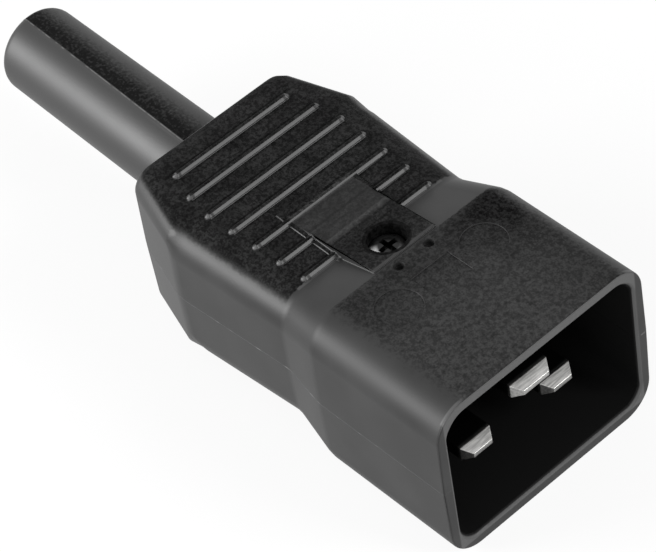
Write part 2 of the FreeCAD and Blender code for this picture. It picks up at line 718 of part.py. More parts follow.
def buildCarrier():
    """Insulating block behind the shroud, moulded round the three blades."""
    body = newBody("pin_carrier")
    gap = "Dim.carrier_gap"
    plate = newSketch(body, "plate", "YZ_Plane", "-Dim.cavity_depth")
    half_width, half_height = f"(Spot.cavity_width / 2 - {gap})", f"(Spot.cavity_height / 2 - {gap})"
    corners = rectangle(f"-{half_width}", half_width, f"-{half_height}", half_height)
    drawOutline(plate, [corner + ("Dim.cavity_radius",) for corner in corners])
    pad(body, plate, "Dim.carrier_plate", reverse=True)
    block = newSketch(body, "block", "YZ_Plane", "Spot.plate_back_x")
    half_width, half_height = f"(Spot.chamber_width / 2 - {gap})", f"(Spot.chamber_height / 2 - {gap})"
    drawOutline(block, rectangle(f"-{half_width}", half_width, f"-{half_height}", half_height))
    pad(body, block, "Dim.carrier_length - Dim.carrier_plate", reverse=True)
    lugs = newSketch(body, "lugs", "YZ_Plane", "Spot.lug_x")
    reach, half_lug = f"(Spot.chamber_width / 2 + Dim.lug_reach - {gap})", "Dim.lug_height / 2"
    drawOutline(lugs, rectangle(f"-{reach}", reach, f"-{half_lug}", half_lug))
    pad(body, lugs, "Dim.lug_length", reverse=True)
    hole = newSketch(body, "carrier_hole", "XY_Plane", "-Dim.shroud_height / 2")
    drawCircle(hole, "Spot.screw_x", "0", "Dim.screw_radius + Dim.screw_gap")
    cut(body, hole, "Dim.shroud_height", reverse=True)
    for side, label in ((1, "upper"), (-1, "lower")):
        seat = newSketch(body, f"boss_seat_{label}", "XY_Plane", f"{side} * (Spot.boss_z - {gap})")
        drawCircle(seat, "Spot.screw_x", "0", f"Dim.screw_boss_radius + {gap}")
        cut(body, seat, "Dim.shroud_height / 2", reverse=side > 0)
    line_slots = newSketch(body, "line_slots", "XY_Plane", "Spot.line_z - Dim.blade_thickness / 2")
    drawLineBlade(line_slots, "-Spot.side_y")
    drawLineBlade(line_slots, "Spot.side_y")
    cut(body, line_slots, "Dim.blade_thickness", reverse=True)
    earth_slot = newSketch(body, "earth_slot", "XY_Plane", "Spot.earth_z - Dim.blade_thickness / 2")
    drawEarthBlade(earth_slot)
    cut(body, earth_slot, "Dim.blade_thickness", reverse=True)


def buildTerminal(name, y, z, side):
    """Brass block on a blade's tail, with a wire hole from behind and a screw hole from outside."""
    body = newBody(name)
    half = "Spot.terminal_size / 2"
    block = newSketch(body, f"{name}_block", "YZ_Plane", "Spot.carrier_back_x")
    drawOutline(block, about(y, z, half, half))
    pad(body, block, "Dim.terminal_length", reverse=True)
    slot_half = "(Dim.blade_tail_width / 2 + Dim.thread_gap)"
    slot_rise = "(Dim.blade_thickness / 2 + Dim.thread_gap)"
    slot = newSketch(body, f"{name}_slot", "YZ_Plane", "Spot.carrier_back_x")
    drawOutline(slot, about(y, z, slot_half, slot_rise))
    cut(body, slot, "Dim.blade_tail_seat + Dim.thread_gap")
    wire_half = "Dim.wire_hole / 2"
    wire = newSketch(body, f"{name}_wire_hole", "YZ_Plane", "Spot.terminal_back_x")
    drawOutline(wire, about(y, z, wire_half, wire_half))
    cut(body, wire, "Spot.blade_back_x - Spot.terminal_back_x", reverse=True)
    tapped = newSketch(body, f"{name}_tapped_hole", "XY_Plane", z)
    drawCircle(tapped, "Spot.terminal_screw_x", y, "Dim.terminal_screw_radius + Dim.thread_gap")
    cut(body, tapped, "Spot.terminal_size", reverse=side > 0)


def buildWirePlate(name, y, z, side):
    body = newBody(name)
    low = f"{z} + {side} * (Dim.wire_hole / 2 - Dim.wire_plate_gap)"
    plan = newSketch(body, f"{name}_plan", "XY_Plane", low)
    half_length, half_width = "Dim.wire_plate_length / 2", "Dim.wire_plate_width / 2"
    drawOutline(plan, about("Spot.terminal_screw_x", y, half_length, half_width))
    pad(body, plan, "Dim.wire_plate_thickness", reverse=side > 0)


def drawCross(sketch, x, y, reach, half):
    """Cross with four equal arms of the given reach and half width."""
    outline = []
    for ahead, aside in ((1, 0), (0, 1), (-1, 0), (0, -1)):
        far_x, far_y = f"{x} + {ahead} * {reach}", f"{y} + {aside} * {reach}"
        outline += [
            (f"{far_x} + {aside} * {half}", f"{far_y} - {ahead} * {half}"),
            (f"{far_x} - {aside} * {half}", f"{far_y} + {ahead} * {half}"),
            (f"{x} + ({ahead} - {aside}) * {half}", f"{y} + ({aside} + {ahead}) * {half}"),
        ]
    drawOutline(sketch, outline)


def startScrew(name, x, y, side, seat, tip, shank, head, height):
    """Plain shank and head along Z, the head on the given side."""
    body = newBody(name)
    stem = newSketch(body, f"{name}_shank", "XY_Plane", tip)
    drawCircle(stem, x, y, shank)
    pad(body, stem, f"abs(({seat}) - ({tip}))", reverse=side < 0)
    cap = newSketch(body, f"{name}_head", "XY_Plane", seat)
    drawCircle(cap, x, y, head)
    pad(body, cap, height, reverse=side < 0)
    return body


def bevelCrown(body, z):
    """Bevel round the top of a screw's head."""
    crown = value(z)

    def onCrown(edge):
        return abs(middle(edge).z - crown) < 1e-4

    bevelEdges(body, f"{body.Name}_bevel", "Dim.head_bevel", onCrown)


def buildCrossScrew(name, x, y, seat, tip, head, height, bevelled=False):
    """Head with a cross recess, facing up."""
    body = startScrew(name, x, y, 1, seat, tip, "Dim.screw_radius", head, height)
    if bevelled:
        bevelCrown(body, f"({seat}) + ({height})")
    cross = newSketch(body, f"{name}_cross", "XY_Plane", f"({seat}) + ({height}) - Dim.cross_depth")
    drawCross(cross, x, y, f"Dim.cross_share * {head}", "Dim.screw_slot_width / 2")
    cut(body, cross, height, reverse=True)


def buildTerminalScrew(name, y, z, side):
    """Flat slotted head on a terminal, its tip on the wire plate."""
    seat = f"{z} + {side} * Spot.terminal_size / 2"
    tip = f"{z} + {side} * (Dim.wire_hole / 2 - Dim.wire_plate_gap)"
    body = startScrew(name, "Spot.terminal_screw_x", y, side, seat, tip, "Dim.terminal_screw_radius",
                      "Dim.terminal_head_radius", "Dim.terminal_head_height")
    floor = f"{seat} + {side} * (Dim.terminal_head_height - Dim.screw_slot_depth)"
    slot = newSketch(body, f"{name}_slot", "XY_Plane", floor)
    half = "Dim.screw_slot_width / 2"
    drawOutline(slot, about("Spot.terminal_screw_x", y, "1.2 * Dim.terminal_head_radius", half))
    cut(body, slot, "Dim.terminal_head_height", reverse=side > 0)


def buildNut():
    body = newBody("housing_nut")
    plan = newSketch(body, "nut_plan", "XY_Plane", "-Spot.nut_seat_z")
    hexagon(plan, "Spot.screw_x", "Dim.nut_flats")
    pad(body, plan, "Dim.nut_height", reverse=True)
    bore = newSketch(body, "nut_bore", "XY_Plane")
    drawCircle(bore, "Spot.screw_x", "0", "Dim.screw_radius + Dim.thread_gap")
    cut(body, bore, "Dim.shroud_height")


def buildCordClamp():
    """Bridge over the cord, held on the lower shell's saddle by two screws."""
    body = newBody("cord_clamp")
    front = "Spot.clamp_x - Dim.clamp_length / 2"
    strap = newSketch(body, "strap", "YZ_Plane", front)
    half, thick = "Spot.clamp_half_width", "Dim.clamp_thickness"
    drawOutline(strap, rectangle(f"-{half}", half, "0", thick))
    pad(body, strap, "Dim.clamp_length")
    arch = newSketch(body, "arch", "YZ_Plane", front)
    rise = "Spot.clamp_rise"
    drawOutline(arch, [
        (f"-{rise}", "0"),
        (rise, "0"),
        (rise, rise, "Dim.cord_radius"),
        (f"-{rise}", rise, "Dim.cord_radius"),
    ])
    pad(body, arch, "Dim.clamp_length")
    seat = newSketch(body, "clamp_seat", "YZ_Plane", "Spot.clamp_x - Dim.clamp_length")
    drawCircle(seat, "0", "0", "Dim.cord_radius")
    cut(body, seat, "2 * Dim.clamp_length", reverse=True)
    holes = newSketch(body, "clamp_holes", "XY_Plane")
    drawPair(holes, "Spot.clamp_x", "Spot.clamp_screw_y", "Dim.screw_radius + Dim.screw_gap")
    cut(body, holes, "Dim.clamp_thickness", reverse=True)


def buildClampNut(name, y):
    """Square nut let into the saddle."""
    body = newBody(name)
    plan = newSketch(body, f"{name}_plan", "XY_Plane")
    half = "(Dim.clamp_nut_half - Dim.thread_gap)"
    drawOutline(plan, about("Spot.clamp_x", y, half, half))
    drawCircle(plan, "Spot.clamp_x", y, "Dim.screw_radius + Dim.thread_gap")
    pad(body, plan, "Dim.clamp_nut_length", reverse=True)


def buildBendSleeve():
    """Turned profile: inner flange, neck in the shells' rear wall, and the long sleeve."""
    body = newBody("bend_sleeve")
    profile = newSketch(body, "sleeve_profile", "XY_Plane")
    end = "(Spot.rear_x - Dim.sleeve_length)"
    facets = int(driving["sleeve_end_facets"])
    rounded = []
    for i in range(facets + 1):
        angle = f"(90 * {i} / Dim.sleeve_end_facets)"
        along = f"{end} + Dim.sleeve_end_round * (1 - sin({angle}))"
        rounded.append((along, f"Spot.sleeve_radius - Dim.sleeve_end_round * (1 - cos({angle}))"))
    drawOutline(profile, [
        ("Spot.flange_front_x - Dim.sleeve_gap", "Dim.cord_radius"),
        ("Spot.flange_front_x - Dim.sleeve_gap", "Spot.flange_radius"),
        ("Spot.flange_back_x", "Spot.flange_radius"),
        ("Spot.flange_back_x", "Spot.sleeve_radius"),
        *rounded,
        (end, "Dim.cord_radius"),
    ])
    turned = body.newObject("PartDesign::Revolution", "sleeve_turned")
    turned.Profile = profile
    turned.ReferenceAxis = (originPlane(body, "X_Axis"), [""])
    turned.Angle = 360


buildUpperShell()
buildLowerShell()
buildLineBlade("live_pin", "-Spot.side_y")
buildLineBlade("neutral_pin", "Spot.side_y")
buildBlade("earth_pin", drawEarthBlade, "Spot.earth_tip_x", "Spot.earth_z")
buildCarrier()
poles = (
    ("live", "-Spot.side_y", "Spot.line_z", -1),
    ("neutral", "Spot.side_y", "Spot.line_z", -1),
    ("earth", "Spot.side_y", "Spot.earth_z", 1),
)
for pole, y, z, side in poles:
    buildTerminal(f"{pole}_terminal", y, z, side)
    buildWirePlate(f"{pole}_wire_plate", y, z, side)
    buildTerminalScrew(f"{pole}_terminal_screw", y, z, side)
screw_tip = "-(Spot.nut_seat_z + Dim.nut_height - Dim.screw_tip_stand)"
buildCrossScrew("housing_screw", "Spot.screw_x", "0", "Spot.screw_seat_z", screw_tip,
                "Dim.screw_head_radius", "Dim.screw_head_height", bevelled=True)
buildNut()
buildCordClamp()
clamp_screw_tip = "Dim.clamp_thickness - Dim.clamp_screw_length"
for hand, y in (("right", "-Spot.clamp_screw_y"), ("left", "Spot.clamp_screw_y")):
    buildClampNut(f"cord_clamp_nut_{hand}", y)
    buildCrossScrew(f"cord_clamp_screw_{hand}", "Spot.clamp_x", y, "Dim.clamp_thickness", clamp_screw_tip,
                    "Dim.clamp_head_radius", "Dim.clamp_head_height")
buildBendSleeve()
doc.recompute()

for item in doc.Objects:
    if "Invalid" in item.State or "Error" in item.State:
        raise ValueError(f"{item.Name} did not build: {item.State}")
os.makedirs("parts", exist_ok=True)
for body in doc.findObjects("PartDesign::Body"):
    if body.Shape.isNull() or not body.Shape.isValid():
        raise ValueError(f"{body.Label} has no sound shape")
    body.Shape.exportStep(f"parts/{body.Label}.step")
    print(body.Label, len(body.Shape.Solids), round(body.Shape.Volume, 2), len(body.Shape.Faces))
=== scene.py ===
import json
import math

import bmesh
import bpy
from mathutils import Matrix, Vector


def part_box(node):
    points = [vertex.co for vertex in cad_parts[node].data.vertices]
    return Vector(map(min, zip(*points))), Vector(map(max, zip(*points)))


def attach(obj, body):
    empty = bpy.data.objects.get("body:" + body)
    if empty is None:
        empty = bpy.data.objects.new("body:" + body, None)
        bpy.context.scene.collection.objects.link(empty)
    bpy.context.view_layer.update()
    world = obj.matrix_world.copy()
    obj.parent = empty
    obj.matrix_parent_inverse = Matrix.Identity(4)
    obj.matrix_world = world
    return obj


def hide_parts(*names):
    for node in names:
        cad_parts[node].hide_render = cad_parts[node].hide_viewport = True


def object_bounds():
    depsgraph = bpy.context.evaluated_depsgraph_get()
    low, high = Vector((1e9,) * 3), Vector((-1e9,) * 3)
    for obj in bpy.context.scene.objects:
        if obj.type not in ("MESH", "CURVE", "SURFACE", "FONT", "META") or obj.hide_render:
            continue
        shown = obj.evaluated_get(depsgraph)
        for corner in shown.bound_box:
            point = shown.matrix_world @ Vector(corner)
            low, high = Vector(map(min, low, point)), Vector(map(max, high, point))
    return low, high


# Black inline power plug, seen from above its open face. Metres, in the part's own frame:
# +X is the way the plug is pushed in, +Z is up and the shells part at z = 0.

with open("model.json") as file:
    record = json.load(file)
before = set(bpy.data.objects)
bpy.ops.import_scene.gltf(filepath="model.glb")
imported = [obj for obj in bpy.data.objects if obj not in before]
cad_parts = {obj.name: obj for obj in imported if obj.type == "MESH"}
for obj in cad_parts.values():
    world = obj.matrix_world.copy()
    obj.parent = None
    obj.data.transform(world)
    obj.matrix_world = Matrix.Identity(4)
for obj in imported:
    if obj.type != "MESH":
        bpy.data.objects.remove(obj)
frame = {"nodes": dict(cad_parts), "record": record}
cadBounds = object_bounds()
nodes = frame["nodes"]
mounts = {mount["name"]: mount for mount in frame["record"]["mounts"]}
mm = 0.001
print("frame loaded:", len(nodes), "nodes")


def boxOf(name):  # a node's lowest and highest corner, in millimetres
    return [[round(value / mm, 2) for value in corner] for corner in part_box(name)]


# camera and light

cameraSet = {
    "place": (0.182898, -0.154800, 0.276987),
    "right": (0.673955, 0.727882, -0.126423),
    "up": (-0.473139, 0.556683, 0.682826),
    "lens": 176.67,
    "shift": (-0.0064, -0.0139),
}


def placeCamera(cfg):
    data = bpy.data.cameras.new("camera")
    data.sensor_width = 36
    data.lens = cfg["lens"]
    data.shift_x, data.shift_y = cfg["shift"]
    data.clip_start = 0.01
    camera = bpy.data.objects.new("camera", data)
    right, up = Vector(cfg["right"]).normalized(), Vector(cfg["up"]).normalized()
    turn = Matrix((right, up, right.cross(up))).transposed().to_4x4()
    camera.matrix_world = Matrix.Translation(cfg["place"]) @ turn
    bpy.context.scene.collection.objects.link(camera)
    bpy.context.scene.camera = camera


placeCamera(cameraSet)
bpy.context.scene.view_settings.view_transform = "Standard"
print("camera placed")


# materials: what every finish is made with

class Wire:
    # an output socket; arithmetic on it adds Math nodes to its material
    def __init__(self, paint, socket):
        self.paint, self.socket = paint, socket

    def maths(self, operation, *values):
        return self.paint.add("Math", {"operation": operation}, dict(enumerate(values)))

    def __add__(self, other):
        return self.maths("ADD", self, other)

    def __sub__(self, other):
        return self.maths("SUBTRACT", self, other)

    def __rsub__(self, other):
        return self.maths("SUBTRACT", other, self)

    def __mul__(self, other):
        return self.maths("MULTIPLY", self, other)

    def __abs__(self):
        return self.maths("ABSOLUTE", self)

    def __or__(self, other):
        return self.maths("MAXIMUM", self, other)

    __radd__, __rmul__ = __add__, __mul__

    def pick(self, name):
        return Wire(self.paint, self.socket.node.outputs[name])

    def step(self, low, high):  # 0 below low, 1 above high, smooth between
        return self.paint.add("MapRange", {"interpolation_type": "SMOOTHSTEP"},
                              {"Value": self, "From Min": low, "From Max": high})


class Paint:
    # one material or world tree, and the one way that nodes get into it
    def __init__(self, tree):
        self.tree = tree
        tree.nodes.clear()

    def add(self, kind, settings=None, values=None):
        node = self.tree.nodes.new("ShaderNode" + kind)
        for name, value in (settings or {}).items():
            setattr(node, name, value)
        for key, value in (values or {}).items():
            if isinstance(value, Wire):
                self.tree.links.new(value.socket, node.inputs[key])
            else:
                node.inputs[key].default_value = value
        outputs = [socket for socket in node.outputs if socket.enabled]
        return Wire(self, outputs[0]) if outputs else None

    def place(self):  # position on the object, in metres
        return self.add("TexCoord").pick("Object")

    def split(self, vector):
        parts = self.add("SeparateXYZ", {}, {"Vector": vector})
        return parts.pick("X"), parts.pick("Y"), parts.pick("Z")

    def spot(self):  # the position's x, y and z
        return self.split(self.place())

    def facing(self):  # x, y and z of the way the surface looks
        return self.split(self.add("NewGeometry").pick("Normal"))

    def length(self, across, along):
        return self.add("Math", {"operation": "SQRT"}, {0: across * across + along * along})

    def noise(self, scale, detail=2, rough=0.5, vector=None):
        return self.add("TexNoise", {}, {"Vector": vector or self.place(), "Scale": scale,
                                         "Detail": detail, "Roughness": rough})

    def tint(self, mask, plain, other):  # plain colour where the mask is 0, the other where it is 1
        return self.add("Mix", {"data_type": "RGBA"}, {0: mask, 6: plain, 7: other}).pick("Result")

    def mix(self, mask, plain, other):  # the same for two shaders
        return self.add("MixShader", {}, {0: mask, 1: plain, 2: other})

    def bump(self, height, depth):
        return self.add("Bump", {}, {"Height": height, "Distance": depth})


def between(value, low, high, soft):  # 1 where the value lies between low and high
    return value.step(low - soft, low + soft) * (1 - value.step(high - soft, high + soft))


def grey(level):
    return (level, level, level, 1)


def newMaterial(name, dress):
    material = bpy.data.materials.new(name)
    material.use_nodes = True
    paint = Paint(material.node_tree)
    paint.add("OutputMaterial", {}, {"Surface": dress(paint)})
    return material


def surface(paint, values):
    return paint.add("BsdfPrincipled", {}, values).pick("BSDF")


# light and floor

studio = {
    "roomLevel": 0.40,  # what the room gives the plug's dull surfaces; shiny ones see it white
    "floorColour": 0.86,
    "floorShadow": 0.13,  # share of the floor that takes shadow, the rest glows white
    "floorSize": 3.0,
    "floorGap": 0.02 * mm,
    "lamps": {
        "keyBox": {"place": (-0.61, -0.72, 0.36), "size": (0.55, 0.46), "power": 12.5},
        "frontBox": {"place": (0.70, 0.36, 0.56), "size": (0.35, 0.35), "power": 7.0},
        "sideFill": {"place": (0.45, -0.85, 0.30), "size": (0.8, 0.5), "power": 3.0},
    },
}


def showsWhite(paint):  # 1 for the eye and for what shines or is clear
    path = paint.add("LightPath")
    return path.pick("Is Camera Ray") | path.pick("Is Glossy Ray") | path.pick("Is Transmission Ray")


def lightRoom(cfg):
    world = bpy.data.worlds.new("room")
    world.use_nodes = True
    bpy.context.scene.world = world
    paint = Paint(world.node_tree)
    level = showsWhite(paint) * (1 - cfg["roomLevel"]) + cfg["roomLevel"]
    glow = paint.add("Background", {}, {"Color": grey(1), "Strength": level})
    paint.add("OutputWorld", {}, {"Surface": glow})
    for name, lamp in cfg["lamps"].items():
        data = bpy.data.lights.new(name, "AREA")
        data.shape = "RECTANGLE"
        data.size, data.size_y = lamp["size"]
        data.energy = lamp["power"]
        light = bpy.data.objects.new(name, data)
        light.location = lamp["place"]
        light.rotation_euler = (-Vector(lamp["place"])).to_track_quat("-Z", "Y").to_euler()
        bpy.context.scene.collection.objects.link(light)


def dressFloor(paint):
    shade = paint.add("BsdfDiffuse", {}, {"Color": grey(studio["floorColour"])})
    glow = paint.add("Emission", {}, {"Color": grey(1), "Strength": 1.0})
    share = showsWhite(paint) * (1 - studio["floorShadow"])
    return paint.mix(share, shade, glow)


def layFloor(cfg):
    half, level = cfg["floorSize"] / 2, cadBounds[0][2] - cfg["floorGap"]
    mesh = bpy.data.meshes.new("floor")
    corners = [(-half, -half, level), (half, -half, level), (half, half, level), (-half, half, level)]
    mesh.from_pydata(corners, [], [(0, 1, 2, 3)])
    floor = bpy.data.objects.new("floor", mesh)
    floor.data.materials.append(newMaterial("paleFloor", dressFloor))
    bpy.context.scene.collection.objects.link(floor)


lightRoom(studio)
layFloor(studio)
print("light and floor ready")


# shells

nutBox = boxOf("housing_nut")
screwAlong = (nutBox[0][0] + nutBox[1][0]) / 2  # x of the housing screw and its nut, in millimetres

shells = {
    "shades": {  # of grey; where there are two, the darkest and the lightest
        # the cavity's shade is painted shade; the shades of the rim's front face and of the ribs' tops and
        # ends are painted highlights
        "polished": (0.011, 0.020), "dull": (0.001, 0.020), "grip": 0.003, "shroud": 0.013, "cavity": 0.0045,
        "grainFleck": 0.060, "partingFleck": 0.13, "mouth": 0.075, "ribTop": 0.041, "ribTip": 0.075,
    },
    "scales": {"pits": 4400, "coarse": 2000, "blotch": 1300, "fleck": 600, "cloud": 330, "sweep": 120},
    "depths": {"grain": 0.04 * mm, "polish": 0.008 * mm, "cavity": 0.01 * mm},
    "rough": {"grained": 0.42, "dull": 0.55, "polished": 0.41, "cavity": 0.6},  # at the least
    "roughGain": {"grain": 0.2, "sweep": 0.10, "shroud": 0.06},  # what noise and the shroud add to it
    "gloss": {"grained": 0.17, "dull": 0.03, "polished": 0.35, "cavity": 0.08},
    "speckFrom": (0.41, 0.61),  # where in the noise a speck begins and is full
    "speckShare": {"grained": (0.65, -0.17), "dull": (0.3, 0.35)},  # on the grip, and what the shroud adds
    "darkness": {  # share of the dull finish on the eroded faces; on the ribs' feet and on the shroud's back and +y side it is painted shade
        "grip": 0.60, "patch": 0.20, "blotch": 0.3, "groove": 0.85,
        "shroud": 0.06, "far": 0.40, "back": 0.52, "farBack": 0.42,
    },
    # the painted shadow behind each rib end also takes the eroded finish
    "erodedShare": {"heel": 0.8, "dip": 0.9},
    "places": {  # where the finish changes
        "gripTilt": (0.74, 0.89),  # how level a face is where the grain begins and where it is full
        "shroudTilt": (0.6, 0.8),
        "shroudStart": (-24 * mm, -21 * mm),  # along x, where grip turns to shroud: how the grain lies
        "shroudFull": (-24 * mm, -19 * mm),  # and its shades
        "shroudSide": (10.6 * mm, 12.8 * mm),  # out along y, where the shroud's grain fades
        "farSide": 1.9 * mm,  # how much further out it fades on the +y side
        "grainWander": 2.4 * mm,
        "shroudBack": (-22 * mm, -8 * mm),  # along x, where the painted shade on the shroud's back fades
        "backWander": 14 * mm,
        "farDark": (2 * mm, 15 * mm),  # along y, where painted shade darkens the shroud's grain
        "ramp": (-27.9 * mm, -21.3 * mm),  # the ramp and the strip ahead of the plateau are smooth
        "rampWander": 0.6 * mm,
        "plateauHalf": 4.9 * mm,
        "plateauFront": (-22.05 * mm, -21.95 * mm),
        "heel": (-35.8 * mm, -30.0 * mm),  # the plateau's back
        "recessEdge": (2.9 * mm, 3.05 * mm),  # round the housing screw, where the recess takes a painted shade
        "firstRib": -52.2 * mm, "ribPitch": 3.98 * mm, "ribs": 7,
        "ribZone": (-54 * mm, -27.5 * mm),
        "ribEnd": 11.0 * mm,
        "ribHalf": 11.5 * mm,
        "gripEnds": (-0.0513, 8.88 * mm),  # how far out the ribs end: change along x, and reach at x = 0
        "tailEnds": (0.34, 26.93 * mm),
        # where the painted highlight on a rib's round end and the painted shadow behind it lie
        "tipRound": (0.16 * mm, 0.32 * mm), "tipInset": 0.22 * mm, "dipInset": (0.62 * mm, 1.0 * mm),
        "tipShift": 0.02,  # this and the next four are shares of the rib pitch, from a rib's middle
        "footRise": (0.07, 0.10), "footFade": (0.12, 0.42),  # the painted shadow ahead of a rib
        # the next two place painted shadows: a line behind each rib and a gap behind its round end
        "darkBehind": (-0.24, -0.12), "dip": (-0.16, 0.14),
        "cavityEdge": (14.75 * mm, 10.55 * mm),
        "cavityDepth": (-20.6 * mm, -0.25 * mm),
        "mouthHalf": 15.1 * mm,
        "mouthRise": (-10.9 * mm, 12.4 * mm),  # the rim's front face but for its lowest strip, where a highlight is painted
        "mouthStart": (-0.55 * mm, -0.4 * mm),
        "partingHalf": 0.07 * mm,
    },
    # An edge gets the share of the first zone that holds its middle. In millimetres, along is x, out and high
    # are the distances from the middle plane and the parting plane, rise is z, and round is the distance from
    # the screw.
    "edgeWidth": 0.18 * mm,
    "edgeZones": [
        {"along": (-47.3, -44.8), "out": (11.8, 20), "high": (0.01, 10.79), "share": None},  # rear corner
        {"high": (-1, 0.01), "share": 0.25},  # parting line
        {"along": (-20.9, 1), "out": (-1, 14.5), "high": (-1, 10.3), "share": 0},  # cavity
        {"along": (-19, -12), "high": (11.9, 20), "share": 0.2},  # sunk rounds and frame
        {"along": (-20.9, -19), "share": 0.15},  # dimples
        {"along": (-20.9, 1), "share": 0.7},  # the rest of the shroud
        {"along": (-28.6, -21.0), "out": (-1, 3.6), "rise": (-11.2, 0), "share": 0},  # nut's seat
        {"out": (-1, 13.2), "high": (-1, 9.6), "share": 0},  # chambers inside
        {"round": (-1, 3.2), "share": 0.3},  # screw's recess
        {"along": (-36, -22.3), "out": (-1, 5.6), "share": 1.0},  # plateau
        {"share": 0.45},  # grip and tail
    ],
    "rearCorner": {"along": (-46.9, -44.9), "out": 12.3, "high": (6.8, 10.6), "reach": 1.5,
                   "growth": 1.4, "starts": (0.1, 0.2)},
}


def grainMask(paint, at, mottle):  # 1 on the spark-eroded faces, 0 on the polished ones
    x, y = paint.spot()[:2]
    forward, _, upward = paint.facing()
    level, out = abs(upward), abs(y)
    onShroud = x.step(*at["shroudStart"])
    onRibs = between(x, *at["ribZone"], 0.05 * mm) * (1 - out.step(at["ribEnd"], at["ribEnd"] + 1 * mm))
    # painted shade: rib faces that look back take more of the eroded finish, so they stay darker than the
    # polished faces that look forward
    ribBackShade = onRibs * (1 - forward.step(-0.5, -0.2)) * level.step(0.4, 0.5) * 0.3
    onGrip = (level + (mottle * 0.16 - 0.08) + ribBackShade).step(*at["gripTilt"])
    reach = out + (mottle - 0.5) * at["grainWander"] - y.step(-1 * mm, 1 * mm) * at["farSide"]
    onTop = (1 - reach.step(*at["shroudSide"])) * level.step(*at["shroudTilt"])
    wander = (mottle - 0.5) * at["rampWander"]
    onPlateau = between(y, -at["plateauHalf"], at["plateauHalf"], 0.02 * mm)
    ramp = between(x + wander, *at["ramp"], 0.1 * mm) * (1 - onPlateau * (1 - x.step(*at["plateauFront"])))
    heel = onPlateau * between(x + wander * 6, *at["heel"], 1.4 * mm)
    return (onGrip * (1 - onShroud) + onTop * onShroud) * (1 - ramp) * (1 - heel)


def cavityShadeMask(paint, at):  # 1 inside the shroud's cavity, where shade is painted
    x, y, z = paint.spot()
    wide, high = at["cavityEdge"]
    inDepth = between(x, *at["cavityDepth"], 0.1 * mm)
    return between(y, -wide, wide, 0.03 * mm) * between(z, -high, high, 0.03 * mm) * inDepth


def mouthSheenMask(paint, at):  # 1 on the rim's front face, where a highlight is painted
    x, y, z = paint.spot()
    face = between(y, -at["mouthHalf"], at["mouthHalf"], 0.1 * mm) * between(z, *at["mouthRise"], 0.1 * mm)
    return face * x.step(*at["mouthStart"])


def ribPlace(paint, at):  # place from the nearest rib's middle in shares of the pitch, and 1 where ribs are
    along = (paint.spot()[0] - at["firstRib"]) * (1 / at["ribPitch"])
    past = paint.add("Math", {"operation": "FRACT"}, {0: along + 0.5}) - 0.5
    return past, between(along, -0.5, at["ribs"] - 0.5, 0.02)


def ribShadowMask(paint, at):  # 1 in the painted shadow ahead of each rib and in the painted shadow line behind it
    past, ribbed = ribPlace(paint, at)
    ribbed = ribbed * (1 - abs(paint.spot()[1]).step(at["ribEnd"] - 1 * mm, at["ribEnd"]))
    ahead = (1 - past.step(*at["footFade"])) * past.step(*at["footRise"])
    return (ahead | between(past, *at["darkBehind"], 0.02) * 1.1) * ribbed


def paintedRibEnds(paint, at):  # 1 on the round end of each rib, where a highlight is painted, and 0.7 on the painted shadow behind it
    x, y = paint.spot()[:2]
    past, ribbed = ribPlace(paint, at)
    ends = [x * at[name][0] + at[name][1] for name in ("gripEnds", "tailEnds")]
    inwards = paint.add("Math", {"operation": "MINIMUM"}, {0: ends[0], 1: ends[1]}) - abs(y)
    dot = paint.length((past - at["tipShift"]) * at["ribPitch"], inwards - at["tipInset"])
    tip = ribbed * (1 - dot.step(*at["tipRound"]))
    dip = ribbed * between(past, *at["dip"], 0.02) * between(inwards, *at["dipInset"], 0.1 * mm)
    return tip, dip * 0.7


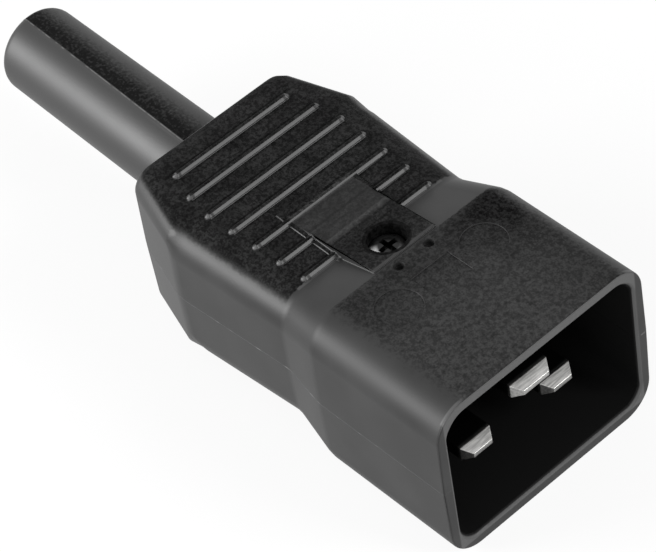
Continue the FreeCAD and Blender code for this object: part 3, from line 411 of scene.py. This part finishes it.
def dressShell(paint):
    shades, scales, depths, at = (shells[key] for key in ("shades", "scales", "depths", "places"))
    rough, gain, gloss, darkness = (shells[key] for key in ("rough", "roughGain", "gloss", "darkness"))
    x, y, z = paint.spot()
    pits = paint.noise(scales["pits"], 2, 0.6)
    coarse = paint.noise(scales["coarse"], 3, 0.6)
    cloud = paint.noise(scales["cloud"], 3, 0.6)
    sweep = paint.noise(scales["sweep"], 3, 0.5)
    onShroud = x.step(*at["shroudFull"])
    tip, dip = paintedRibEnds(paint, at)

    # the two eroded finishes, the second darker and duller
    bump = paint.bump(pits * 0.6 + coarse * 0.4, depths["grain"])
    speck = (pits * 0.4 + coarse * 0.6).step(*shells["speckFrom"])
    specks = {name: speck * (onShroud * more + least) for name, (least, more) in shells["speckShare"].items()}
    ground = paint.tint(onShroud, grey(shades["grip"]), grey(shades["shroud"]))
    grained = surface(paint, {
        "Base Color": paint.tint(specks["grained"], ground, grey(shades["grainFleck"])),
        "Roughness": coarse * gain["grain"] + rough["grained"],
        "Specular IOR Level": gloss["grained"],
        "Normal": bump,
    })
    darkest, lightest = shades["dull"]
    dull = surface(paint, {
        "Base Color": paint.tint(specks["dull"], grey(darkest), grey(lightest)),
        "Roughness": coarse * gain["grain"] + rough["dull"],
        "Specular IOR Level": gloss["dull"],
        "Normal": bump,
    })

    # the polished finish of sides, ramp, rim and ribs, with flecks on the parting line and painted highlights
    # on the rim's front face and the ribs' tops and ends
    darkest, lightest = shades["polished"]
    fleck = paint.noise(scales["fleck"], 2, 0.5).step(0.55, 0.68)
    seam = between(z, -at["partingHalf"], at["partingHalf"], 0.03 * mm) * (fleck * 0.8 + 0.1)
    onRibs = between(x, *at["ribZone"], 0.05 * mm) * between(y, -at["ribHalf"], at["ribHalf"], 0.05 * mm)
    plain = paint.tint(sweep.step(0.3, 0.7), grey(darkest), grey(lightest))
    # painted highlight: the rim's front face is tinted lighter
    plain = paint.tint(mouthSheenMask(paint, at) * 0.8, plain, grey(shades["mouth"]))
    # painted highlight: on the ribs, the polished faces that look upwards are tinted lighter
    plain = paint.tint(onRibs * abs(paint.facing()[2]).step(0.3, 0.5), plain, grey(shades["ribTop"]))
    # painted highlight: the round end of each rib is tinted lighter
    plain = paint.tint(tip, plain, grey(shades["ribTip"]))
    polished = surface(paint, {
        "Base Color": paint.tint(seam, plain, grey(shades["partingFleck"])),
        "Roughness": sweep * gain["sweep"] + onShroud * gain["shroud"] + rough["polished"],
        "Specular IOR Level": gloss["polished"],
        "Normal": paint.bump(pits, depths["polish"]),
    })
    # painted shade: inside the shroud's cavity the plastic gets an almost black, hardly shiny finish
    inner = surface(paint, {
        "Base Color": grey(shades["cavity"]),
        "Roughness": rough["cavity"],
        "Specular IOR Level": gloss["cavity"],
        "Normal": paint.bump(coarse, depths["cavity"]),
    })

    # where each finish lies
    patch = cloud.step(0.35, 0.65)
    blotch = paint.noise(scales["blotch"], 2, 0.5).step(0.5, 0.62)
    # painted shade: the housing screw's recess takes the eroded finish and the darkest dull one
    recess = 1 - paint.length(x - screwAlong * mm, y).step(*at["recessEdge"])
    # painted shade: the shroud's eroded top takes more of the dull finish towards its back and its +y side
    back = 1 - (x + (cloud - 0.5) * at["backWander"]).step(*at["shroudBack"])
    far = y.step(*at["farDark"])
    gripDark = patch * darkness["patch"] + darkness["grip"]
    backDark = back * (far * darkness["farBack"] + darkness["back"])
    shroudDark = backDark + far * darkness["far"] + darkness["shroud"]
    dark = (1 - onShroud) * gripDark | onShroud * (shroudDark | blotch * darkness["blotch"])
    # painted shadow in the ribs' feet, behind the rib ends and in the screw's recess: these take the darkest
    # dull finish
    dark = dark | ribShadowMask(paint, at) * darkness["groove"] | dip | recess
    heel = between(y, -at["plateauHalf"], at["plateauHalf"], 0.02 * mm) * between(x, *at["heel"], 0.3 * mm)
    share = shells["erodedShare"]
    eroded = grainMask(paint, at, coarse) * (1 - tip) | heel * share["heel"] | dip * share["dip"] | recess
    outside = paint.mix(eroded, polished, paint.mix(dark, grained, dull))
    return paint.mix(cavityShadeMask(paint, at), outside, inner)


softening = {
    "weld": 0.0005 * mm,
    "flatAngle": 0.4,  # in degrees; edges that bend less go
    "sharpAngle": 20,  # and edges that bend more are rounded
    "steps": 2,
    "evenness": 50,
}


def pieceFrom(name, shape, mesh=None):  # the finished shape as an object in the scene
    mesh = mesh or bpy.data.meshes.new(name)
    shape.to_mesh(mesh)
    shape.free()
    piece = bpy.data.objects.new(name, mesh)
    bpy.context.scene.collection.objects.link(piece)
    return piece


def softCopy(name, node, width, share, slide=None):
    # The node's own shape with its edges rounded. share(x, y, z) gives an edge's part of the width: 0 keeps
    # it sharp, None only shades it softly. slide(x, y, z) moves a corner along x. Both take millimetres.
    cfg = softening
    mesh = nodes[node].data.copy()
    mesh.materials.clear()
    shape = bmesh.new()
    shape.from_mesh(mesh)
    bmesh.ops.remove_doubles(shape, verts=shape.verts, dist=cfg["weld"])
    if slide:
        for corner in shape.verts:
            corner.co.x += slide(*(corner.co / mm)) * mm
    flat = math.radians(cfg["flatAngle"])
    bmesh.ops.dissolve_limit(shape, angle_limit=flat, verts=shape.verts, edges=shape.edges)
    for face in shape.faces:
        face.smooth = True
    weights = shape.edges.layers.float.new("bevel_weight_edge")
    for edge in shape.edges:
        if len(edge.link_faces) == 2 and edge.calc_face_angle() > math.radians(cfg["sharpAngle"]):
            part = share(*((edge.verts[0].co + edge.verts[1].co) / (2 * mm)))
            edge[weights] = part or 0
            edge.smooth = part != 0
    piece = pieceFrom(name, shape, mesh)
    bevel = piece.modifiers.new("softEdges", "BEVEL")
    bevel.width = width
    bevel.segments = cfg["steps"]
    bevel.limit_method = "WEIGHT"
    bevel.use_clamp_overlap = False
    even = piece.modifiers.new("evenNormals", "WEIGHTED_NORMAL")
    even.weight = cfg["evenness"]
    even.keep_sharp = True
    return piece


def shellShare(x, y, z):
    where = {"along": x, "out": abs(y), "high": abs(z), "rise": z, "round": math.hypot(x - screwAlong, y)}
    for zone in shells["edgeZones"]:
        if all(zone[key][0] < where[key] < zone[key][1] for key in zone if key != "share"):
            return zone["share"]


def easeCorner(x, y, z):  # how far the grip's rear corner reaches forward along its rounded edge
    cfg = shells["rearCorner"]
    (back, front), (low, high) = cfg["along"], cfg["high"]
    startAlong, startHigh = cfg["starts"]
    if not back < x < front or abs(y) < cfg["out"] or not low < abs(z) < high:
        return 0
    return cfg["reach"] * min(1, x - back + startAlong) * min(1, (abs(z) - low + startHigh) / cfg["growth"])


shellPlastic = newMaterial("shellPlastic", dressShell)
for half in ("upper", "lower"):
    skin = softCopy(half + "ShellSkin", half + "_shell", shells["edgeWidth"], shellShare, slide=easeCorner)
    skin.data.materials.append(shellPlastic)
    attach(skin, "root")
    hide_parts(half + "_shell")
print("shells ready")


# metal

metals = {
    "zinc": {"bright": (0.62, 0.62, 0.60, 1), "worn": (0.5084, 0.5084, 0.492, 1), "rough": 0.32},
    "brass": {"bright": (0.72, 0.52, 0.24, 1), "worn": (0.5904, 0.4264, 0.1968, 1), "rough": 0.30},
}
metalGrain = {"streakScale": 1400, "spotScale": 500, "depth": 0.004 * mm, "roughGain": 0.12}


def metalDress(cfg):
    def dress(paint):
        streak = paint.noise(metalGrain["streakScale"], 3)
        spots = paint.noise(metalGrain["spotScale"], 3, 0.6).step(0.4, 0.8)
        return surface(paint, {
            "Base Color": paint.tint(spots, cfg["bright"], cfg["worn"]),
            "Metallic": 1.0,
            "Roughness": streak * metalGrain["roughGain"] + cfg["rough"],
            "Normal": paint.bump(streak, metalGrain["depth"]),
        })
    return dress


finish = {name: newMaterial(name, metalDress(cfg)) for name, cfg in metals.items()}

blades = {
    "plate": ((0.24, 0.24, 0.235, 1), (0.44, 0.435, 0.425, 1)),
    "deep": 0.02,  # painted shade on the part that lies deep in the shroud
    "rough": 0.30, "roughGain": 0.10,
    "grainScale": 5200,
    "grainStretch": (1, 0.10, 1),
    "grainDepth": 0.001 * mm,
    "softWidth": 0.07 * mm,
    "softFrom": -20,  # along x in millimetres; behind it the edges stay sharp
    "brightFrom": (-1.95, -1.30),  # from the tip back, where the painted shade of the deep part gives way to the plated colour
    "pieces": {"live_pin": "liveBlade", "neutral_pin": "neutralBlade", "earth_pin": "earthBlade"},
}


def bladeDress(cfg, tip):
    def dress(paint):
        stretch = {0: paint.place(), 1: cfg["grainStretch"]}
        stretched = paint.add("VectorMath", {"operation": "MULTIPLY"}, stretch)
        streak = paint.noise(cfg["grainScale"], 2, vector=stretched)
        plated = paint.tint(streak.step(0.25, 0.75), *cfg["plate"])
        # painted shade: behind the tip the blade is tinted almost black
        bright = paint.spot()[0].step(*((tip + behind) * mm for behind in cfg["brightFrom"]))
        return surface(paint, {
            "Base Color": paint.tint(bright, grey(cfg["deep"]), plated),
            "Metallic": 1.0,
            "Roughness": streak * cfg["roughGain"] + cfg["rough"],
            "Normal": paint.bump(streak, cfg["grainDepth"]),
        })
    return dress


def bladeShare(x, y, z):
    return 1.0 if x > blades["softFrom"] else 0.0


for name, pieceName in blades["pieces"].items():
    tip = boxOf(name)[1][0]
    piece = softCopy(pieceName, name, blades["softWidth"], bladeShare)
    piece.data.materials.append(newMaterial(pieceName + "Plate", bladeDress(blades, tip)))
    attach(piece, "root")
    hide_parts(name)


# hidden inner parts keep their shape and get their finish

innerPlastic = {
    "shades": (0.004, 0.007), "rough": 0.6, "gloss": 0.1,
    "grainScale": 3000, "grainDepth": 0.01 * mm,
}


def dressInner(paint):
    cfg = innerPlastic
    darkest, lightest = cfg["shades"]
    grain = paint.noise(cfg["grainScale"], 2, 0.5)
    return surface(paint, {
        "Base Color": paint.tint(grain, grey(darkest), grey(lightest)),
        "Roughness": cfg["rough"],
        "Specular IOR Level": cfg["gloss"],
        "Normal": paint.bump(grain, cfg["grainDepth"]),
    })


innerBlack = newMaterial("innerBlack", dressInner)


def assign(name, material):
    node = nodes[name]
    node.data.materials.clear()
    node.data.materials.append(material)


for pole in ("live", "neutral", "earth"):
    assign(pole + "_terminal", finish["brass"])
    assign(pole + "_wire_plate", finish["zinc"])
    assign(pole + "_terminal_screw", finish["zinc"])
for name in ("pin_carrier", "cord_clamp"):
    assign(name, innerBlack)
for name in ("housing_nut", "cord_clamp_screw_right", "cord_clamp_screw_left"):
    assign(name, finish["zinc"])
for name in ("cord_clamp_nut_right", "cord_clamp_nut_left"):
    assign(name, finish["brass"])
print("metal and inner parts ready")


# housing screw

screwBox = boxOf("housing_screw")
screw = {
    # heights, in millimetres; the domed head's crown stands a little above the solid's flat head
    "tip": screwBox[0][2], "seat": 8.5, "edge": 9.95, "crown": screwBox[1][2] + 0.1,
    "shank": 1.5, "head": 2.35, "chamfer": 0.25,
    "crossReach": 1.3, "crossHalf": 0.34, "crossDepth": 1.0, "crossTaper": (0.8, 1.1), "cutAbove": 0.5,
    "around": 64, "rings": 10,
    "weld": 0.002, "flatAngle": 0.5, "sharpAngle": 35,
    "blacked": 0.035, "bare": 0.80,  # shades, of the black oxide and of the bare metal, which also paints the highlight
    "wornFrom": (1.1 * mm, 1.6 * mm),  # out from the middle
    "bareSide": (0.55, -0.83), "bareFrom": (-0.2 * mm, 0.8 * mm),  # the side with the painted highlight, its direction in x and y
    "wornShare": (0.08, 0.92),  # wear all round, and what the painted highlight on one side adds
    "rough": 0.26, "scratchRough": 0.15, "wornRough": 0.25, "wornDull": 0.75,
    "scratchScale": 2500, "scratchDepth": 0.003 * mm,
}


def screwProfile(cfg):  # radius and height, from the tip up to the crown
    shank, head, chamfer = cfg["shank"], cfg["head"], cfg["chamfer"]
    rows = [(shank - chamfer, cfg["tip"]), (shank, cfg["tip"] + chamfer), (shank, cfg["seat"])]
    rows += [(head, cfg["seat"]), (head, cfg["edge"])]
    for i in range(1, cfg["rings"]):
        turn = math.radians(90 * i / cfg["rings"])
        rise = (cfg["crown"] - cfg["edge"]) * math.sin(turn)
        rows.append((head * math.cos(turn), cfg["edge"] + rise))
    return rows


def stackRings(shape, rings):  # walls between neighbouring rings of corners
    for before, after in zip(rings, rings[1:]):
        for i in range(len(before)):
            j = (i + 1) % len(before)
            shape.faces.new((before[i], before[j], after[j], after[i]))


def closedPiece(name, shape, rings):  # the stacked rings with both ends closed, as an object
    stackRings(shape, rings)
    shape.faces.new(rings[0][::-1])
    shape.faces.new(rings[-1])
    return pieceFrom(name, shape)


def crossCutter(cfg):
    reach, half = cfg["crossReach"], cfg["crossHalf"]
    quarter = [(reach, -half), (reach, half), (half, half)]
    outline = []
    for _ in range(4):
        outline += quarter
        quarter = [(-b, a) for a, b in quarter]
    shape, rings = bmesh.new(), []
    heights = (cfg["crown"] - cfg["crossDepth"], cfg["crown"] + cfg["cutAbove"])
    for z, size in zip(heights, cfg["crossTaper"]):
        around = [(screwAlong + a * size, b * size) for a, b in outline]
        rings.append([shape.verts.new((x * mm, y * mm, z * mm)) for x, y in around])
    return closedPiece("crossCutter", shape, rings)


def buildScrew(cfg):
    shape, rings = bmesh.new(), []
    turns = [2 * math.pi * i / cfg["around"] for i in range(cfg["around"])]
    for radius, z in screwProfile(cfg):
        around = [(screwAlong + radius * math.cos(turn), radius * math.sin(turn)) for turn in turns]
        rings.append([shape.verts.new((x * mm, y * mm, z * mm)) for x, y in around])
    piece = closedPiece("housingScrew", shape, rings)
    cutter = crossCutter(cfg)
    carve = piece.modifiers.new("cross", "BOOLEAN")
    carve.operation = "DIFFERENCE"
    carve.object = cutter
    bpy.context.view_layer.update()
    carved = bpy.data.meshes.new_from_object(piece.evaluated_get(bpy.context.evaluated_depsgraph_get()))
    piece.modifiers.clear()
    bpy.data.objects.remove(cutter)
    clean = bmesh.new()  # without the thin slivers that the carving leaves
    clean.from_mesh(carved)
    flat = math.radians(cfg["flatAngle"])
    bmesh.ops.remove_doubles(clean, verts=clean.verts, dist=cfg["weld"] * mm)
    bmesh.ops.dissolve_limit(clean, angle_limit=flat, verts=clean.verts, edges=clean.edges)
    bmesh.ops.triangulate(clean, faces=[face for face in clean.faces if len(face.verts) > 4])
    clean.to_mesh(carved)
    clean.free()
    for face in carved.polygons:
        face.use_smooth = True
    carved.set_sharp_from_angle(angle=math.radians(cfg["sharpAngle"]))
    piece.data = carved
    return piece


def dressScrew(paint):
    cfg = screw
    x, y = paint.spot()[:2]
    x = x - screwAlong * mm
    # wear round the head's edge, and on its +x, -y side a painted highlight, the bright crescent
    bareSide = (x * cfg["bareSide"][0] + y * cfg["bareSide"][1]).step(*cfg["bareFrom"])
    allRound, more = cfg["wornShare"]
    worn = paint.length(x, y).step(*cfg["wornFrom"]) * (bareSide * more + allRound)
    scratch = paint.noise(cfg["scratchScale"], 3, 0.6)
    return surface(paint, {
        "Base Color": paint.tint(worn * (scratch * 0.4 + 0.75), grey(cfg["blacked"]), grey(cfg["bare"])),
        "Metallic": 1 - worn * cfg["wornDull"],
        "Roughness": scratch * cfg["scratchRough"] + worn * cfg["wornRough"] + cfg["rough"],
        "Normal": paint.bump(scratch, cfg["scratchDepth"]),
    })


screwPiece = buildScrew(screw)
screwPiece.data.materials.append(newMaterial("blackedSteel", dressScrew))
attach(screwPiece, "root")
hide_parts("housing_screw")
print("housing screw ready")


# bend sleeve

sleeveBox = boxOf("bend_sleeve")
sleeve = {
    # along x, in millimetres; rear is the shells' rear face
    "front": sleeveBox[1][0], "flangeBack": -55.0, "rear": boxOf("upper_shell")[0][0], "end": sleeveBox[0][0],
    "bore": mounts["cable_bore"]["dims"]["r_mm"], "neck": 6.08, "endRadius": 5.90, "flange": sleeveBox[1][1],
    "endRound": 1.4, "mouthRound": 0.35, "mouthFlare": 0.08,
    "around": 144, "along": 60, "endSteps": 8, "mouthSteps": 6, "boreSteps": 20,
    "drift": (0.80, 0.26),  # how far the free end leans along y and z
    "seamNear": 16.0, "seamFar": 9.0,  # turn of the mould line from the top, in degrees, at rear and end
    "seamHeight": 0.08, "seamWidth": 1.3, "seamFrom": 0.6,
    # degrees past the mould line: its light line, where the grain starts, and where the dark band ends
    "seamLine": (-0.8, 0.6), "grainStart": (0.4, 1.6), "darkEnd": (10, 42), "darkWander": 34,
    "smooth": (0.014, 0.022), "eroded": (0.003, 0.03), "seamShade": 0.12,
    "smoothRough": 0.43, "erodedRough": 0.5, "sweepRough": 0.1, "coarseRough": 0.2,
    "smoothGloss": 0.50, "erodedGloss": 0.06, "darkFade": 0.78,
    "pitScale": 2500, "coarseScale": 850, "sweepScale": 120,
    "grainDepth": 0.04 * mm, "polishDepth": 0.008 * mm,
}


def sleeveProfile(cfg):  # x and radius, from the front face over flange and end, and back through the bore
    front, back, end, bore = cfg["front"], cfg["flangeBack"], cfg["end"], cfg["bore"]
    rows = [(front, bore), (front, cfg["flange"]), (back, cfg["flange"]), (back, cfg["neck"])]
    for i in range(cfg["along"] + 1):
        share = i / cfg["along"]
        x = cfg["rear"] - share * (cfg["rear"] - end - cfg["endRound"])
        rows.append((x, cfg["neck"] + (cfg["endRadius"] - cfg["neck"]) * share))
    for i in range(cfg["endSteps"]):
        turn = math.radians(90 * (i + 1) / cfg["endSteps"])
        x = end + cfg["endRound"] * (1 - math.sin(turn))
        rows.append((x, cfg["endRadius"] - cfg["endRound"] * (1 - math.cos(turn))))
    for i in range(cfg["mouthSteps"] + 1):
        turn = math.radians(90 * i / cfg["mouthSteps"])
        x = end + cfg["mouthRound"] * (1 - math.cos(turn))
        rows.append((x, bore + cfg["mouthRound"] * (1 - math.sin(turn)) * cfg["mouthFlare"]))
    start = end + cfg["mouthRound"]
    for i in range(1, cfg["boreSteps"]):
        rows.append((start + (front - start) * i / cfg["boreSteps"], bore))
    return rows


def seamLift(cfg, turn, seamTurn):  # height of the two mould lines at this turn
    lift = 0
    for seam in (-seamTurn, 180 - seamTurn):
        away = (turn - seam + 180) % 360 - 180
        lift += cfg["seamHeight"] * math.exp(-(away / cfg["seamWidth"]) ** 2)
    return lift


def buildSleeve(cfg):
    shape, rings = bmesh.new(), []
    for x, radius in sleeveProfile(cfg):
        far = max(0, cfg["rear"] - x) / (cfg["rear"] - cfg["end"])
        seamTurn = cfg["seamNear"] + (cfg["seamFar"] - cfg["seamNear"]) * far
        onOutside = radius > cfg["bore"] + cfg["seamFrom"] and x < cfg["rear"]
        ring = []
        for i in range(cfg["around"]):
            angle = 2 * math.pi * i / cfg["around"]
            reach = radius + (seamLift(cfg, math.degrees(angle), seamTurn) if onOutside else 0)
            across = math.sin(angle) * reach + cfg["drift"][0] * far
            rise = math.cos(angle) * reach + cfg["drift"][1] * far
            ring.append(shape.verts.new((x * mm, across * mm, rise * mm)))
        rings.append(ring)
    stackRings(shape, rings + rings[:1])
    bmesh.ops.recalc_face_normals(shape, faces=shape.faces)
    piece = pieceFrom("bendSleeve", shape)
    for face in piece.data.polygons:
        face.use_smooth = True
    return piece


def dressSleeve(paint):
    cfg = sleeve
    x, y, z = paint.spot()
    pits = paint.noise(cfg["pitScale"], 3, 0.62)
    coarse = paint.noise(cfg["coarseScale"], 2, 0.5)
    sweep = paint.noise(cfg["sweepScale"], 3, 0.5)
    far = (cfg["rear"] * mm - x) * (1 / ((cfg["rear"] - cfg["end"]) * mm)) | 0
    across, rise = y - far * (cfg["drift"][0] * mm), z - far * (cfg["drift"][1] * mm)
    turn = paint.add("Math", {"operation": "ARCTAN2"}, {0: across, 1: rise}) * math.degrees(1)
    turn = turn + cfg["seamNear"] + far * (cfg["seamFar"] - cfg["seamNear"])
    pastSeam = turn.step(*cfg["grainStart"])
    pastDark = (turn + (pits - 0.5) * cfg["darkWander"]).step(*cfg["darkEnd"])
    line = between(turn, *cfg["seamLine"], 0.5) * coarse.step(0.35, 0.55)
    ground, fleck = cfg["eroded"]
    grained = surface(paint, {
        "Base Color": paint.tint(pits.step(0.5, 0.66) * 0.5, grey(ground), grey(fleck)),
        "Roughness": coarse * cfg["coarseRough"] + cfg["erodedRough"],
        "Specular IOR Level": cfg["erodedGloss"],
        "Normal": paint.bump(pits * 0.75 + coarse * 0.25, cfg["grainDepth"]),
    })
    darkest, lightest = cfg["smooth"]
    plain = paint.tint(sweep, grey(darkest), grey(lightest))
    smooth = surface(paint, {
        "Base Color": paint.tint(line * 0.7, plain, grey(cfg["seamShade"])),
        "Roughness": sweep * cfg["sweepRough"] + cfg["smoothRough"],
        "Specular IOR Level": cfg["smoothGloss"],
        "Normal": paint.bump(pits, cfg["polishDepth"]),
    })
    return paint.mix(pastSeam * (1 - pastDark * cfg["darkFade"]), smooth, grained)


sleevePiece = buildSleeve(sleeve)
sleevePiece.data.materials.append(newMaterial("sleeveRubber", dressSleeve))
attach(sleevePiece, "root")
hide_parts("bend_sleeve")
print("bend sleeve ready")
